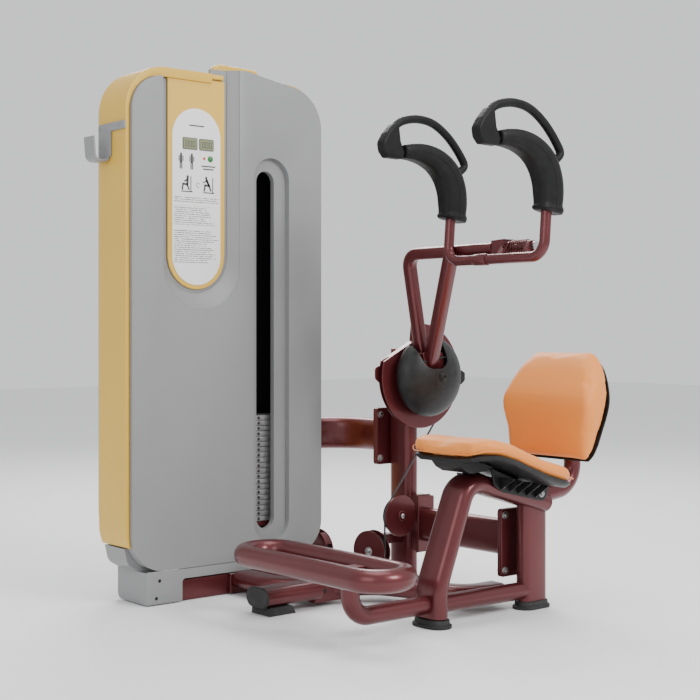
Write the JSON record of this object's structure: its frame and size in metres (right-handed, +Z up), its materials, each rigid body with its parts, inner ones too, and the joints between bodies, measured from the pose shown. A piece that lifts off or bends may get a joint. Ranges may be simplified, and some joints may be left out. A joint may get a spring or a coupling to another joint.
{
  "type": "ab crunch machine",
  "caption": "Seated abdominal crunch gym machine: shrouded weight tower, swinging arm with padded handles, seat, back rest and foot bar on a floor frame.",
  "frame": {"origin": "centre of the footprint box on the floor", "axes": "+Z up; +X from the tower outer side towards the back rest, so the user faces -X; +Y from the seat towards the weight tower"},
  "size_m": [1.1829, 1.152, 1.6323],
  "materials": {
    "maroon_paint": "metallic satin paint",
    "grey_shroud": "satin moulded plastic",
    "gold_shell": "satin moulded plastic",
    "black_plastic": "fine grain",
    "black_grip": "skinned foam rubber",
    "black_rubber": "matte",
    "orange_upholstery": "soft coated fabric, padded",
    "bright_steel": "turned",
    "stack_plate": "painted dark",
    "white_label": "printed label",
    "green_button": "moulded",
    "display_glass": "window",
    "cable_black": "coated wire rope"
  },
  "bodies": {
    "frame": {"back_pad": "orange_upholstery", "back_shell": "black_plastic", "base_beam": "maroon_paint", "base_skirt": "grey_shroud", "cable": "cable_black", "cross_beam": "maroon_paint", "display_unit": "display_glass", "floor_beam": "maroon_paint", "foot_bar": "maroon_paint", "front_foot": "black_rubber", "front_shroud": "grey_shroud", "guide_rod_left": "bright_steel", "guide_rod_right": "bright_steel", "instruction_plate": "white_label", "label_strip": "gold_shell", "lift_cable": "cable_black", "link_tube": "maroon_paint", "low_pulley_axle": "bright_steel", "low_pulley_guard": "maroon_paint", "main_post": "maroon_paint", "mid_pulley_axle": "bright_steel", "mid_pulley_guard": "maroon_paint", "pivot_bearing": "bright_steel", "post_foot": "black_rubber", "post_pulley_axle": "bright_steel", "post_pulley_guard": "maroon_paint", "rear_foot": "black_rubber", "rear_shroud": "grey_shroud", "seat_frame": "maroon_paint", "seat_pad": "orange_upholstery", "seat_shell": "black_plastic", "side_pulley_axle": "bright_steel", "side_tube": "maroon_paint", "stabiliser_cap": "black_rubber", "stabiliser_foot": "black_rubber", "stack_frame": "maroon_paint", "stack_pulley_axle": "bright_steel", "towel_hook": "grey_shroud", "tower_shell": "gold_shell", "weight_plates": "stack_plate"},
    "arm": {"pivot_shaft": "bright_steel", "cam": "maroon_paint", "cam_cover": "black_plastic", "cover_screw": "bright_steel", "arm_frame": "maroon_paint", "yoke_pin": "bright_steel", "yoke_spring": "maroon_paint"},
    "handles": {"handle_yoke": "maroon_paint", "arm_pad_left": "black_grip", "arm_pad_right": "black_grip", "grip_loop_left": "black_grip", "grip_loop_right": "black_grip"},
    "carriage": {"top_plate": "stack_plate", "selector_rod": "bright_steel"},
    "button": {"reset_button": "green_button"},
    "post_sheave": {"post_pulley": "black_plastic"},
    "mid_sheave": {"mid_pulley": "black_plastic"},
    "low_sheave": {"low_pulley": "black_plastic"},
    "side_sheave": {"side_pulley": "black_plastic"},
    "stack_sheave": {"stack_pulley": "black_plastic"}
  },
  "joints": [
    {"name": "arm_swing", "type": "hinge", "parent": "frame", "child": "arm", "pos_m": [0.3734, 0.106, 0.656], "axis": [0, -1, 0], "range_deg": [0, 60]},
    {"name": "handle_swivel", "type": "hinge", "parent": "arm", "child": "handles", "pos_m": [0.2734, -0.359, 1.034], "axis": [0, -1, 0], "range_deg": [-12, 12], "stiffness_Nm_per_rad": 60, "springref_deg": -4.58},
    {"name": "button_press", "type": "slide", "parent": "frame", "child": "button", "axis": [0, 1, 0], "range_m": [0, 0.002], "stiffness_N_per_m": 400},
    {"name": "carriage_lift", "type": "slide", "parent": "frame", "child": "carriage", "axis": [0, 0, 1], "range_m": [0, 0.156], "deforming": ["lift_cable"]},
    {"name": "post_pulley_turn", "type": "hinge", "parent": "frame", "child": "post_sheave", "pos_m": [0.2824, 0.106, 0.225], "axis": [0, 1, 0], "range_deg": [0, 168]},
    {"name": "mid_pulley_turn", "type": "hinge", "parent": "frame", "child": "mid_sheave", "pos_m": [0.22216, 0.1585, 0.114], "axis": [-0.9906, -0.1366, 0], "range_deg": [0, 168]},
    {"name": "low_pulley_turn", "type": "hinge", "parent": "frame", "child": "low_sheave", "pos_m": [0.1894, 0.396, 0.095], "axis": [-0.9906, -0.1366, 0], "range_deg": [0, 168]},
    {"name": "side_pulley_turn", "type": "hinge", "parent": "frame", "child": "side_sheave", "pos_m": [0.12916, 0.4485, 1.45], "axis": [0, 1, 0], "range_deg": [0, 168]},
    {"name": "stack_pulley_turn", "type": "hinge", "parent": "frame", "child": "stack_sheave", "pos_m": [0.0204, 0.4485, 1.45], "axis": [0, 1, 0], "range_deg": [0, 168]}
  ],
  "couplings": [
    {"joint": "carriage_lift", "follows": "arm_swing", "m_per_rad": 0.1456},
    {"joint": "post_pulley_turn", "follows": "arm_swing", "ratio": 2.7472},
    {"joint": "mid_pulley_turn", "follows": "arm_swing", "ratio": 2.7472},
    {"joint": "low_pulley_turn", "follows": "arm_swing", "ratio": 2.7472},
    {"joint": "side_pulley_turn", "follows": "arm_swing", "ratio": 2.7472},
    {"joint": "stack_pulley_turn", "follows": "arm_swing", "ratio": 2.7472}
  ]
}
